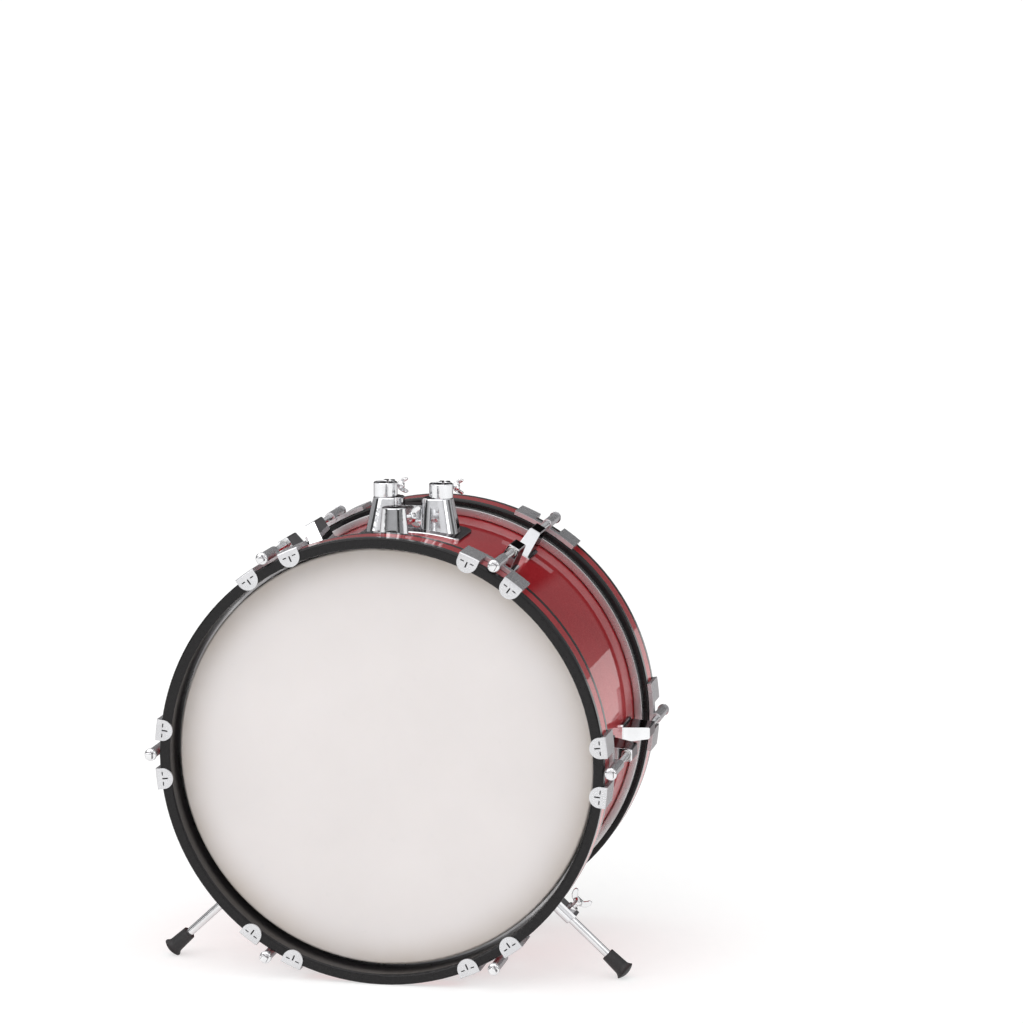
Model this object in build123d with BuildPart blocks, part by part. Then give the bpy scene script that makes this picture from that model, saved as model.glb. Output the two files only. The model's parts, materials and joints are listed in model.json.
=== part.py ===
"""Junior bass drum, 16 inch by 10 inch, on its spurs, with tom posts' base and cymbal arm socket.

Millimetres. The origin is on the floor under the middle of the drum. +Z is up, the drum's axis
runs along Y, the front head faces -Y and the pedal side faces +Y.

Hardware that repeats around the shell is modelled once in a station frame: its origin is on the
drum's axis, +z points outwards from the axis, x runs around the shell and y runs along it.
"""
from build123d import *
from math import asin, cos, degrees, radians, sin
import os

# ---------------------------------------------------------------- driving dimensions
# Shell
SHELL_RADIUS = 203.2
SHELL_THICKNESS = 6.0
SHELL_DEPTH = 254.0
BEARING_CUT = 4.5
BEARING_ROUND = 1.5
WRAP_THICKNESS = 0.5
WRAP_DEPTH = 248.0

# Hoops and heads
HOOP_RADIUS = 218.0
HOOP_THICKNESS = 10.5
HOOP_WIDTH = 38.0
HOOP_EDGE_ROUND = 2.0
INLAY_WIDTH = 19.0
INLAY_DEPTH = 0.7
HEAD_SETBACK = 26.0
HEAD_FILM = 0.4
HEAD_CORNER = 2.05
COLLAR_GAP = 0.35
FLESH_HOOP_THICKNESS = 7.9
FLESH_HOOP_WIDTH = 10.0

# Tension hardware
STATION_ANGLES = (-150, -90, -30, 30, 90, 150)
ROD_CIRCLE_RADIUS = 225.5
ROD_RADIUS = 3.0
RUNNING_CLEARANCE = 0.07
BOLT_CLEARANCE = 0.06
LUG_OUTER_Y = 70.0
LUG_LENGTH = 46.0
LUG_TOP_LENGTH = 33.0
LUG_WIDTH = 15.0
LUG_TOP_WIDTH = 11.5
LUG_TOP_RADIUS = 231.0
LUG_FLANGE_MARGIN = 2.5
LUG_FLANGE_HEIGHT = 3.0
NUT_RADIUS = 4.1
NUT_LENGTH = 24.0
NUT_RIM = 1.6
LUG_SCREW_YS = (60.0, 34.0)
LUG_SCREW_DEPTH = 11.0
CLAW_THICKNESS = 4.2
CLAW_TAB_OFFSET = 24.0
CLAW_TAB_WIDTH = 20.5
CLAW_TAB_THICKNESS = 1.8
CLAW_TAB_REACH = 205.5
CLAW_BRIDGE_WIDTH = 9.0
CLAW_TUBE_RADIUS = 5.0
CLAW_TONGUE_SLOT = (6.0, 1.4)
CLAW_DASH = (4.0, 1.1)
CLAW_DASH_OFFSET = 5.0
CLAW_DASH_INSET = 2.1
CLAW_FIT = 0.1
WASHER_THICKNESS = 1.2
ROD_FLANGE_RADIUS = 5.8
ROD_FLANGE_THICKNESS = 2.2
KEY_HEAD = 6.3
KEY_HEAD_LENGTH = 5.6

# Tom posts' base and cymbal arm socket
POST_SPACING = 56.0
POST_SOCKET_RADIUS = 9.6
PLATE_LENGTH = 104.0
PLATE_DEPTH = 72.0
PLATE_THICKNESS = 3.0
BACKING_HALF_DEPTH = 30.0
BACKING_HALF_ANGLE = 13.0
BACKING_THICKNESS = 2.5
LOBE_FOOT = 198.0
LOBE_TOP = 236.0
LOBE_FOOT_SIZE = (39.0, 42.0)
LOBE_TOP_SIZE = (29.5, 30.0)
LOBE_FOOT_X = 27.5
LOBE_TOP_X = 24.5
VALLEY_SIZE = (30.0, 24.0)
VALLEY_DEPTH = 7.0
MOUNT_SCREW_POINTS = [(x, y) for x in (-14.0, 14.0) for y in (-12.0, 12.0)]
COLLAR_RADIUS = 11.8
COLLAR_HEIGHT = 14.0
COLLAR_SLIT = 1.8
EAR_REACH = 20.0
EAR_WIDTH = 11.0
COLLAR_BOLT_RADIUS = 2.5
COLLAR_BOLT_LIFT = 9.0
ARM_SOCKET_Y = -85.0
ARM_SOCKET_TOP = 238.0
ARM_SOCKET_RADIUS = 4.8
ARM_FLANGE_RADIUS = 19.0
ARM_FLANGE_HEIGHT = 2.4
ARM_CONE_FOOT_RADIUS = 14.6
ARM_CONE_TOP_RADIUS = 11.4
ARM_BOLT_RADIUS = 3.0
ARM_BOLT_AT = 227.0
ARM_BOLT_TURN = 35.0
ARM_SCREW_XS = (-9.5, 9.5)

# Spurs
SPUR_ANGLE = 42.8
SPUR_Y = -83.0
SPUR_ROD_RADIUS = 4.0
SPUR_ROD_INNER_END = 150.0
SPUR_SLEEVE_RADIUS = 6.2
SPUR_SLEEVE_END = 238.0
SPUR_BOLT_AT = 230.5
SPUR_BOLT_RADIUS = 3.0
SPUR_BOSS_RADIUS = 5.0
SPUR_BOSS_LENGTH = 7.0
SPUR_FIN_THICKNESS = 2.4
SPUR_FIN_WIDTH = 17.0
SPUR_PLATE_HALF_ANGLE = 5.6
SPUR_PLATE_HALF_DEPTH = 18.0
SPUR_PLATE_THICKNESS = 2.6
SPUR_SCREW_POINTS = [(x, SPUR_Y + y) for x in (-13.5, 13.5) for y in (-12.0, 12.0)]
FOOT_LENGTH = 24.0
FOOT_GRIP = 16.0
FOOT_TOP_RADIUS = 6.6
FOOT_WAIST_RADIUS = 7.4
FOOT_LIP_RADIUS = 9.8
FOOT_LIP_WIDTH = 0.8
FOOT_FLARE_LENGTH = 7.0
FOOT_DOME = 3.0

# Screws
SCREW_RADIUS = 2.4
SCREW_HOLE_RADIUS = 2.5
SCREW_HEAD_RADIUS = 4.6
SCREW_HEAD_HEIGHT = 2.8
NUT_ACROSS_CORNERS_RADIUS = 4.4
NUT_HEIGHT = 3.8
VENT_ANGLE = -120.0
VENT_RADIUS = 5.0
MOUNT_SCREW_TIP = 215.0
ARM_SCREW_TIP = 214.0

# ---------------------------------------------------------------- derived dimensions
AXIS_HEIGHT = HOOP_RADIUS
SHELL_INNER = SHELL_RADIUS - SHELL_THICKNESS
SHELL_HALF = SHELL_DEPTH / 2
WRAP_RADIUS = SHELL_RADIUS + WRAP_THICKNESS
HOOP_FACE = SHELL_HALF + HEAD_SETBACK
HOOP_BACK = HOOP_FACE - HOOP_WIDTH
HOOP_INNER = HOOP_RADIUS - HOOP_THICKNESS
HOOP_MIDDLE = HOOP_FACE - HOOP_WIDTH / 2
COLLAR_INNER = WRAP_RADIUS + COLLAR_GAP
CLAW_INNER = HOOP_RADIUS + CLAW_FIT
CLAW_OUTER = CLAW_INNER + CLAW_THICKNESS
CLAW_TAB_ANGLE = degrees(asin(CLAW_TAB_OFFSET / HOOP_RADIUS))
CLAW_HALF_TAB_ANGLE = degrees(asin(CLAW_TAB_WIDTH / 2 / HOOP_RADIUS))
CLAW_TUBE_FACE = HOOP_FACE + 3.0
ROD_BORE = ROD_RADIUS + RUNNING_CLEARANCE
PLATE_ANGLE = degrees(asin(PLATE_LENGTH / 2 / WRAP_RADIUS))
PLATE_TOP = WRAP_RADIUS + PLATE_THICKNESS
SPUR_STATION = 90 + SPUR_ANGLE
FOOT_LIP_AT = (AXIS_HEIGHT - FOOT_LIP_RADIUS * cos(radians(SPUR_ANGLE))) / sin(radians(SPUR_ANGLE))
FOOT_TOP_AT = FOOT_LIP_AT - FOOT_LENGTH
THROUGH = 60.0

DRUM_AXIS = Axis((0, 0, AXIS_HEIGHT), (0, 1, 0))
SECTION = Plane.XY.offset(AXIS_HEIGHT)
ALONG_Y = (90, 0, 0)
FROM_BASE = (Align.CENTER, Align.CENTER, Align.MIN)


# ---------------------------------------------------------------- helpers
def around(angle):
    """Placement of the station frame, clockwise from the top as seen from the front."""
    a = radians(angle)
    outwards = (sin(a), 0, cos(a))
    return Plane(origin=(0, 0, AXIS_HEIGHT), x_dir=(cos(a), 0, -sin(a)), z_dir=outwards).location


def radial_section(angle):
    """Plane through a station's y axis, with x outwards at the angle and y along the drum."""
    a = radians(angle)
    return Plane(origin=(0, 0, 0), x_dir=(sin(a), 0, cos(a)), z_dir=(-cos(a), 0, sin(a)))


def ring(r_low, r_high, y_low, y_high, edge_round):
    """Ring about the drum's axis with rounded edges."""
    with BuildPart() as body:
        with BuildSketch(SECTION):
            with Locations(((r_low + r_high) / 2, (y_low + y_high) / 2)):
                RectangleRounded(r_high - r_low, y_high - y_low, edge_round)
        revolve(axis=DRUM_AXIS)
    return body.part


def curved_plate(r_low, r_high, y_low, y_high, angle_low, angle_high, corner, edge):
    """Plate that follows the shell, in a station frame."""
    with BuildPart() as body:
        with BuildSketch(radial_section(angle_low)):
            with Locations(((r_low + r_high) / 2, (y_low + y_high) / 2)):
                Rectangle(r_high - r_low, y_high - y_low)
        revolve(axis=Axis.Y, revolution_arc=angle_high - angle_low)
        thickness = r_high - r_low
        straight = body.edges().filter_by(GeomType.LINE)
        fillet(straight.filter_by(lambda e: abs(e.length - thickness) < 0.01), corner)
        top = body.faces().filter_by(GeomType.CYLINDER).sort_by(lambda f: f.radius)[-1]
        chamfer(top.edges(), edge)
    return body.part


def copies(piece, angles):
    """The same piece at several stations, as separate solids."""
    with BuildPart() as group:
        with Locations(*[around(angle) for angle in angles]):
            add(piece)
    return group.part


def pan_screw(head_at, tip_at):
    """Pan head screw along z, from its head's seat to its tip."""
    direction = 1 if tip_at > head_at else -1
    seat = Plane(origin=(0, 0, head_at), z_dir=(0, 0, direction))
    with BuildPart() as screw:
        with BuildSketch(seat):
            Circle(SCREW_RADIUS)
        extrude(amount=abs(tip_at - head_at))
        with BuildSketch(seat):
            Circle(SCREW_HEAD_RADIUS)
        extrude(amount=-SCREW_HEAD_HEIGHT)
        head_end = screw.faces().sort_by(Axis.Z)[0 if direction > 0 else -1]
        fillet(head_end.edges(), SCREW_HEAD_HEIGHT * 0.6)
        with BuildSketch(seat.offset(-SCREW_HEAD_HEIGHT)):
            Rectangle(SCREW_HEAD_RADIUS * 1.1, 0.9)
            Rectangle(0.9, SCREW_HEAD_RADIUS * 1.1)
        extrude(amount=1.2, mode=Mode.SUBTRACT)
    return screw.part


def wing_bolt(shank_radius, shank_length, wing_span, wing_height):
    """Wing bolt along z: its tip is at the origin and its wings lie in the xz plane."""
    hub_radius = shank_radius + 2.2
    hub_length = 6.0
    wing_thickness = 2.6
    with BuildPart() as bolt:
        with BuildSketch(Plane.XY):
            Circle(shank_radius)
        extrude(amount=shank_length)
        with BuildSketch(Plane.XY.offset(shank_length)):
            Circle(hub_radius)
        extrude(amount=hub_length)
        with BuildSketch(Plane.XZ):
            for side in (-1, 1):
                wing_at = (side * wing_span * 0.28, shank_length + wing_height * 0.5, 0)
                with Locations(Location(wing_at, (0, 0, -25 * side))):
                    Ellipse(wing_span * 0.19, wing_height * 0.5)
            with Locations((0, shank_length + hub_length * 0.45)):
                Rectangle(wing_span * 0.5, hub_length * 0.8)
        extrude(amount=wing_thickness / 2, both=True)
        rims = bolt.faces().filter_by(Plane.XZ).edges().filter_by(GeomType.ELLIPSE)
        chamfer(rims, 0.5)
        chamfer(bolt.faces().sort_by(Axis.Z)[0].edges(), 0.5)
    return bolt.part


def mirrored_points(points):
    """Each point on the front half of a station and its twin on the rear half."""
    return [(x, side * y) for x, y in points for side in (-1, 1)]


def cut_shell_holes(outer_radius):
    """Holes through the shell or its wrap for screws, posts, arm, spurs and vent."""
    start = outer_radius + 1
    lug_points = mirrored_points([(0, y) for y in LUG_SCREW_YS])
    posts = [(side * POST_SPACING / 2, 0) for side in (-1, 1)]
    arm_screws = [(x, ARM_SOCKET_Y) for x in ARM_SCREW_XS]
    patterns = [(station, lug_points, SCREW_HOLE_RADIUS) for station in STATION_ANGLES]
    patterns += [(side * SPUR_STATION, SPUR_SCREW_POINTS, SCREW_HOLE_RADIUS) for side in (-1, 1)]
    patterns += [(side * SPUR_STATION, [(0, SPUR_Y)], SPUR_ROD_RADIUS + 0.5) for side in (-1, 1)]
    patterns += [
        (0, posts, POST_SOCKET_RADIUS + 0.4),
        (0, MOUNT_SCREW_POINTS + arm_screws, SCREW_HOLE_RADIUS),
        (0, [(0, ARM_SOCKET_Y)], ARM_SOCKET_RADIUS + 0.2),
        (VENT_ANGLE, [(0, 0)], VENT_RADIUS),
    ]
    for station, points, hole_radius in patterns:
        with Locations(*[around(station) * Location((x, y, start)) for x, y in points]):
            Hole(hole_radius, THROUGH / 4)


# ---------------------------------------------------------------- shell
with BuildPart() as shell:
    with BuildSketch(SECTION):
        with BuildLine():
            Polyline(
                (SHELL_INNER, -(SHELL_HALF - BEARING_CUT)),
                (SHELL_RADIUS - BEARING_ROUND, -SHELL_HALF),
                (SHELL_RADIUS, -(SHELL_HALF - BEARING_ROUND)),
                (SHELL_RADIUS, SHELL_HALF - BEARING_ROUND),
                (SHELL_RADIUS - BEARING_ROUND, SHELL_HALF),
                (SHELL_INNER, SHELL_HALF - BEARING_CUT),
                close=True,
            )
        make_face()
    revolve(axis=DRUM_AXIS)
    cut_shell_holes(SHELL_RADIUS)

with BuildPart() as shell_wrap:
    add(ring(SHELL_RADIUS, WRAP_RADIUS, -WRAP_DEPTH / 2, WRAP_DEPTH / 2, 0.15))
    cut_shell_holes(WRAP_RADIUS)

with BuildPart() as vent_grommet:
    with BuildSketch(radial_section(0)):
        with BuildLine():
            Polyline(
                (SHELL_INNER - 0.8, VENT_RADIUS - 1),
                (WRAP_RADIUS + 0.9, VENT_RADIUS - 1),
                (WRAP_RADIUS + 0.9, VENT_RADIUS + 1.6),
                (WRAP_RADIUS + 0.1, VENT_RADIUS + 2.6),
                (WRAP_RADIUS + 0.1, VENT_RADIUS - 0.1),
                (SHELL_INNER - 0.3, VENT_RADIUS - 0.1),
                (SHELL_INNER - 0.3, VENT_RADIUS + 2),
                (SHELL_INNER - 0.8, VENT_RADIUS + 2),
                close=True,
            )
        make_face()
    revolve(axis=Axis.Z)

# ---------------------------------------------------------------- front hoop, head and hardware
with BuildPart() as front_hoop:
    add(ring(HOOP_INNER, HOOP_RADIUS, -HOOP_FACE, -HOOP_BACK, HOOP_EDGE_ROUND))
    with BuildSketch(SECTION):
        with Locations((HOOP_RADIUS, -HOOP_MIDDLE)):
            Rectangle(2 * INLAY_DEPTH, INLAY_WIDTH)
    revolve(axis=DRUM_AXIS, mode=Mode.SUBTRACT)

with BuildPart() as front_hoop_inlay:
    with BuildSketch(SECTION):
        with Locations((HOOP_RADIUS - INLAY_DEPTH / 2 - 0.03, -HOOP_MIDDLE)):
            Rectangle(INLAY_DEPTH - 0.06, INLAY_WIDTH - 0.1)
    revolve(axis=DRUM_AXIS)

with BuildPart() as front_flesh_hoop:
    add(ring(
        COLLAR_INNER + HEAD_FILM + 0.15,
        COLLAR_INNER + FLESH_HOOP_THICKNESS,
        -HOOP_BACK,
        FLESH_HOOP_WIDTH - HOOP_BACK,
        1.5,
    ))

with BuildPart() as front_head:
    corner_x = COLLAR_INNER - HEAD_CORNER
    corner_y = HEAD_CORNER - SHELL_HALF
    collar_end = FLESH_HOOP_WIDTH - HOOP_BACK - 2
    with BuildSketch(SECTION):
        with BuildLine():
            Line((0, -SHELL_HALF), (corner_x, -SHELL_HALF))
            CenterArc((corner_x, corner_y), HEAD_CORNER, -90, 90)
            Line((COLLAR_INNER, corner_y), (COLLAR_INNER, collar_end))
            Line((COLLAR_INNER, collar_end), (COLLAR_INNER + HEAD_FILM, collar_end))
            Line((COLLAR_INNER + HEAD_FILM, collar_end), (COLLAR_INNER + HEAD_FILM, corner_y))
            CenterArc((corner_x, corner_y), HEAD_CORNER + HEAD_FILM, 0, -90)
            Line((corner_x, -SHELL_HALF - HEAD_FILM), (0, -SHELL_HALF - HEAD_FILM))
            Line((0, -SHELL_HALF - HEAD_FILM), (0, -SHELL_HALF))
        make_face()
    revolve(axis=DRUM_AXIS)

# Lug: flange on the wrap, tower with a flat outer end, blind bore for the swivel nut.
with BuildPart() as lug:
    middle_y = LUG_LENGTH / 2 - LUG_OUTER_Y
    flange_top = WRAP_RADIUS + LUG_FLANGE_HEIGHT
    with BuildSketch(Plane.XY.offset(WRAP_RADIUS - 1)):
        with Locations((0, middle_y)):
            RectangleRounded(LUG_WIDTH + 2 * LUG_FLANGE_MARGIN, LUG_LENGTH + LUG_FLANGE_MARGIN, 3)
    extrude(amount=LUG_FLANGE_HEIGHT + 1)
    chamfer(lug.faces().sort_by(Axis.Z)[-1].edges(), 0.8)
    with BuildSketch(Plane.XY.offset(flange_top)):
        with Locations((0, middle_y)):
            Rectangle(LUG_WIDTH, LUG_LENGTH)
    with BuildSketch(Plane.XY.offset(LUG_TOP_RADIUS)):
        with Locations((0, LUG_TOP_LENGTH / 2 - LUG_OUTER_Y)):
            Rectangle(LUG_TOP_WIDTH, LUG_TOP_LENGTH)
    loft()
    crown = lug.faces().sort_by(Axis.Z)[-1]
    chamfer(crown.edges(), 1.0)
    with Locations((0, -LUG_OUTER_Y, ROD_CIRCLE_RADIUS)):
        Cylinder(NUT_RADIUS, 2 * NUT_LENGTH, rotation=ALONG_Y, mode=Mode.SUBTRACT)
        Cylinder(ROD_RADIUS + 0.4, 2 * NUT_LENGTH + 8, rotation=ALONG_Y, mode=Mode.SUBTRACT)
    for screw_y in LUG_SCREW_YS:
        with Locations((0, -screw_y, WRAP_RADIUS)):
            Hole(SCREW_HOLE_RADIUS, LUG_SCREW_DEPTH)
    Cylinder(WRAP_RADIUS, SHELL_DEPTH, rotation=ALONG_Y, mode=Mode.SUBTRACT)

with BuildPart() as swivel_nut:
    with Locations((0, NUT_LENGTH / 2 - LUG_OUTER_Y, ROD_CIRCLE_RADIUS)):
        Cylinder(NUT_RADIUS, NUT_LENGTH, rotation=ALONG_Y)
    with Locations((0, -NUT_RIM / 2 - LUG_OUTER_Y, ROD_CIRCLE_RADIUS)):
        Cylinder(NUT_RADIUS + 0.9, NUT_RIM, rotation=ALONG_Y)
    chamfer(swivel_nut.faces().sort_by(Axis.Y)[0].edges(), 0.5)
    with Locations((0, -LUG_OUTER_Y, ROD_CIRCLE_RADIUS)):
        Cylinder(ROD_BORE, 3 * NUT_LENGTH, rotation=ALONG_Y, mode=Mode.SUBTRACT)

# Claw: two tabs over the hoop's face, a strap behind each, a bridge and the rod's tube.
with BuildPart() as claw:
    for side in (-1, 1):
        start = side * CLAW_TAB_ANGLE - CLAW_HALF_TAB_ANGLE
        with BuildSketch(radial_section(start)):
            with BuildLine():
                Polyline(
                    (CLAW_INNER, -HOOP_BACK),
                    (CLAW_OUTER, -HOOP_BACK),
                    (CLAW_OUTER, -HOOP_FACE - CLAW_TAB_THICKNESS),
                    (CLAW_INNER - 1.5, -HOOP_FACE - CLAW_TAB_THICKNESS),
                    (CLAW_INNER - 1.5, -HOOP_FACE),
                    (CLAW_INNER, -HOOP_FACE),
                    close=True,
                )
            make_face()
        revolve(axis=Axis.Y, revolution_arc=2 * CLAW_HALF_TAB_ANGLE)
    with BuildSketch(radial_section(-CLAW_TAB_ANGLE - CLAW_HALF_TAB_ANGLE)):
        with Locations(((CLAW_INNER + CLAW_OUTER) / 2, -HOOP_BACK - CLAW_BRIDGE_WIDTH / 2)):
            Rectangle(CLAW_THICKNESS, CLAW_BRIDGE_WIDTH)
    revolve(axis=Axis.Y, revolution_arc=2 * (CLAW_TAB_ANGLE + CLAW_HALF_TAB_ANGLE))
    outer_arcs = claw.edges().filter_by(GeomType.CIRCLE).filter_by(lambda e: e.radius > CLAW_OUTER - 0.1)
    fillet(outer_arcs.sort_by(Axis.Y)[:2], 1.7)
    tab_face = Plane(origin=(0, -HOOP_FACE, 0), x_dir=(1, 0, 0), z_dir=(0, -1, 0))
    tab_centre = CLAW_TAB_REACH + CLAW_TAB_WIDTH / 2
    tab_edge = CLAW_INNER - 0.4
    with BuildSketch(tab_face):
        for side in (-1, 1):
            place = Location((0, 0, 0), (0, 0, -side * CLAW_TAB_ANGLE))
            with Locations(place * Location((0, tab_centre, 0))):
                Circle(CLAW_TAB_WIDTH / 2)
            with Locations(place * Location((0, tab_edge + CLAW_TAB_WIDTH / 2, 0))):
                Rectangle(1.2 * CLAW_TAB_WIDTH, CLAW_TAB_WIDTH, mode=Mode.SUBTRACT)
            with Locations(place * Location((0, (tab_centre + tab_edge) / 2, 0))):
                Rectangle(CLAW_TAB_WIDTH, tab_edge - tab_centre)
            with Locations(place * Location((0, tab_centre - 2.5, 0), (0, 0, 90))):
                SlotOverall(*CLAW_TONGUE_SLOT, mode=Mode.SUBTRACT)
            for offset in (-CLAW_DASH_OFFSET, CLAW_DASH_OFFSET):
                with Locations(place * Location((offset, tab_edge - CLAW_DASH_INSET, 0))):
                    SlotOverall(*CLAW_DASH, mode=Mode.SUBTRACT)
    extrude(amount=CLAW_TAB_THICKNESS)
    with Locations((0, -(CLAW_TUBE_FACE + HOOP_BACK - 3) / 2, ROD_CIRCLE_RADIUS)):
        Cylinder(CLAW_TUBE_RADIUS, CLAW_TUBE_FACE - HOOP_BACK + 3, rotation=ALONG_Y)
    with Locations((0, -HOOP_BACK - (CLAW_BRIDGE_WIDTH - 3) / 2, (CLAW_INNER + ROD_CIRCLE_RADIUS) / 2 + 1)):
        Box(2 * CLAW_TUBE_RADIUS, CLAW_BRIDGE_WIDTH + 3, ROD_CIRCLE_RADIUS - CLAW_INNER - 2)
    with Locations((0, -HOOP_MIDDLE, ROD_CIRCLE_RADIUS)):
        Cylinder(ROD_BORE, 2 * HOOP_WIDTH, rotation=ALONG_Y, mode=Mode.SUBTRACT)

with BuildPart() as rod_washer:
    with Locations((0, -CLAW_TUBE_FACE - WASHER_THICKNESS / 2, ROD_CIRCLE_RADIUS)):
        Cylinder(ROD_FLANGE_RADIUS + 0.2, WASHER_THICKNESS, rotation=ALONG_Y)
        Cylinder(ROD_BORE, 2 * WASHER_THICKNESS, rotation=ALONG_Y, mode=Mode.SUBTRACT)

# Key rod: threaded shank, round flange and square head for a drum key.
with BuildPart() as tension_rod:
    flange_face = -CLAW_TUBE_FACE - WASHER_THICKNESS
    shank_end = NUT_LENGTH - LUG_OUTER_Y - 1
    rod_plane = Plane(origin=(0, flange_face, ROD_CIRCLE_RADIUS), x_dir=(1, 0, 0), z_dir=(0, -1, 0))
    with BuildSketch(rod_plane):
        Circle(ROD_RADIUS)
    extrude(amount=flange_face - shank_end)
    chamfer(tension_rod.faces().sort_by(Axis.Y)[-1].edges(), 0.6)
    with BuildSketch(rod_plane):
        Circle(ROD_FLANGE_RADIUS)
    extrude(amount=ROD_FLANGE_THICKNESS)
    fillet(tension_rod.faces().sort_by(Axis.Y)[0].edges(), 0.8)
    with BuildSketch(rod_plane.offset(ROD_FLANGE_THICKNESS)):
        RectangleRounded(KEY_HEAD, KEY_HEAD, 0.5)
    extrude(amount=KEY_HEAD_LENGTH)
    chamfer(tension_rod.faces().sort_by(Axis.Y)[0].edges(), 0.4)

with BuildPart() as front_claws:
    add(copies(claw.part, STATION_ANGLES))

with BuildPart() as front_lugs:
    add(copies(lug.part, STATION_ANGLES))

with BuildPart() as front_swivel_nuts:
    add(copies(swivel_nut.part, STATION_ANGLES))

with BuildPart() as front_rod_washers:
    add(copies(rod_washer.part, STATION_ANGLES))

# ---------------------------------------------------------------- base for the two tom posts
with BuildPart() as tom_mount_plate:
    with Locations(around(0)):
        add(curved_plate(
            WRAP_RADIUS, PLATE_TOP, -PLATE_DEPTH / 2, PLATE_DEPTH / 2, -PLATE_ANGLE, PLATE_ANGLE, 8, 0.8
        ))
    with Locations(*[(side * POST_SPACING / 2, 0, AXIS_HEIGHT + PLATE_TOP + 1) for side in (-1, 1)]):
        Hole(POST_SOCKET_RADIUS + 0.4, THROUGH / 3)
    with Locations(*[(x, y, AXIS_HEIGHT + PLATE_TOP + 1) for x, y in MOUNT_SCREW_POINTS]):
        Hole(SCREW_HOLE_RADIUS, THROUGH / 4)

with BuildPart() as tom_mount_casting:
    for side in (-1, 1):
        with BuildSketch(Plane.XY.offset(AXIS_HEIGHT + LOBE_FOOT)):
            with Locations((side * LOBE_FOOT_X, 0)):
                RectangleRounded(*LOBE_FOOT_SIZE, 14)
        with BuildSketch(Plane.XY.offset(AXIS_HEIGHT + LOBE_TOP)):
            with Locations((side * LOBE_TOP_X, 0)):
                RectangleRounded(*LOBE_TOP_SIZE, 12)
        loft()
    with BuildSketch(Plane.XY.offset(AXIS_HEIGHT + LOBE_FOOT)):
        Rectangle(*VALLEY_SIZE)
    extrude(amount=LOBE_TOP - VALLEY_DEPTH - LOBE_FOOT)
    with Locations((0, 0, AXIS_HEIGHT)):
        Cylinder(PLATE_TOP, SHELL_DEPTH, rotation=ALONG_Y, mode=Mode.SUBTRACT)
    fillet(tom_mount_casting.faces().sort_by(Axis.Z)[-2:].edges(), 1.5)
    with Locations(*[(side * POST_SPACING / 2, 0, AXIS_HEIGHT + LOBE_TOP + 1) for side in (-1, 1)]):
        Hole(POST_SOCKET_RADIUS, THROUGH)
    with Locations(*[(x, y, AXIS_HEIGHT + MOUNT_SCREW_TIP + 1) for x, y in MOUNT_SCREW_POINTS]):
        Hole(SCREW_HOLE_RADIUS, THROUGH / 3)

with BuildPart() as tom_mount_backing_plate:
    with Locations(around(0)):
        add(curved_plate(
            SHELL_INNER - BACKING_THICKNESS, SHELL_INNER, -BACKING_HALF_DEPTH, BACKING_HALF_DEPTH,
            -BACKING_HALF_ANGLE, BACKING_HALF_ANGLE, 6, 0.5
        ))
    with Locations(*[(side * POST_SPACING / 2, 0, AXIS_HEIGHT + SHELL_INNER + 1) for side in (-1, 1)]):
        Hole(POST_SOCKET_RADIUS + 0.4, THROUGH / 3)
    with Locations(*[(x, y, AXIS_HEIGHT + SHELL_INNER + 1) for x, y in MOUNT_SCREW_POINTS]):
        Hole(SCREW_HOLE_RADIUS, THROUGH / 4)

# Split clamp collar, one on each lobe, with two ears behind the post.
with BuildPart() as post_collar:
    with BuildSketch(Plane.XY.offset(AXIS_HEIGHT + LOBE_TOP)):
        Circle(COLLAR_RADIUS)
        with Locations((0, EAR_REACH / 2)):
            RectangleRounded(EAR_WIDTH, EAR_REACH, 1.5)
        Circle(POST_SOCKET_RADIUS, mode=Mode.SUBTRACT)
        with Locations((0, EAR_REACH / 2 + 2)):
            Rectangle(COLLAR_SLIT, EAR_REACH + 2, mode=Mode.SUBTRACT)
    extrude(amount=COLLAR_HEIGHT)
    chamfer(post_collar.faces().sort_by(Axis.Z)[-1].edges(), 0.6)
    with Locations((0, EAR_REACH - 5, AXIS_HEIGHT + LOBE_TOP + COLLAR_BOLT_LIFT)):
        Cylinder(COLLAR_BOLT_RADIUS + BOLT_CLEARANCE, THROUGH, rotation=(0, 90, 0), mode=Mode.SUBTRACT)

with BuildPart() as left_post_collar:
    with Locations((-POST_SPACING / 2, 0, 0)):
        add(post_collar.part)

with BuildPart() as right_post_collar:
    with Locations((POST_SPACING / 2, 0, 0)):
        add(post_collar.part)

collar_bolt = wing_bolt(COLLAR_BOLT_RADIUS, 24.0, 16.0, 10.0)
collar_bolt_start = Location((-14, EAR_REACH - 5, AXIS_HEIGHT + LOBE_TOP + COLLAR_BOLT_LIFT), (0, 90, 0))

with BuildPart() as left_collar_wing_bolt:
    with Locations(Location((-POST_SPACING / 2, 0, 0)) * collar_bolt_start):
        add(collar_bolt)

with BuildPart() as right_collar_wing_bolt:
    with Locations(Location((POST_SPACING / 2, 0, 0)) * collar_bolt_start):
        add(collar_bolt)

# ---------------------------------------------------------------- socket for the cymbal arm
arm_bolt_place = (
    Location((0, ARM_SOCKET_Y, AXIS_HEIGHT + ARM_BOLT_AT), (0, 0, ARM_BOLT_TURN))
    * Location((ARM_SOCKET_RADIUS + 0.4, 0, 0), (0, 90, 0))
)

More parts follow.
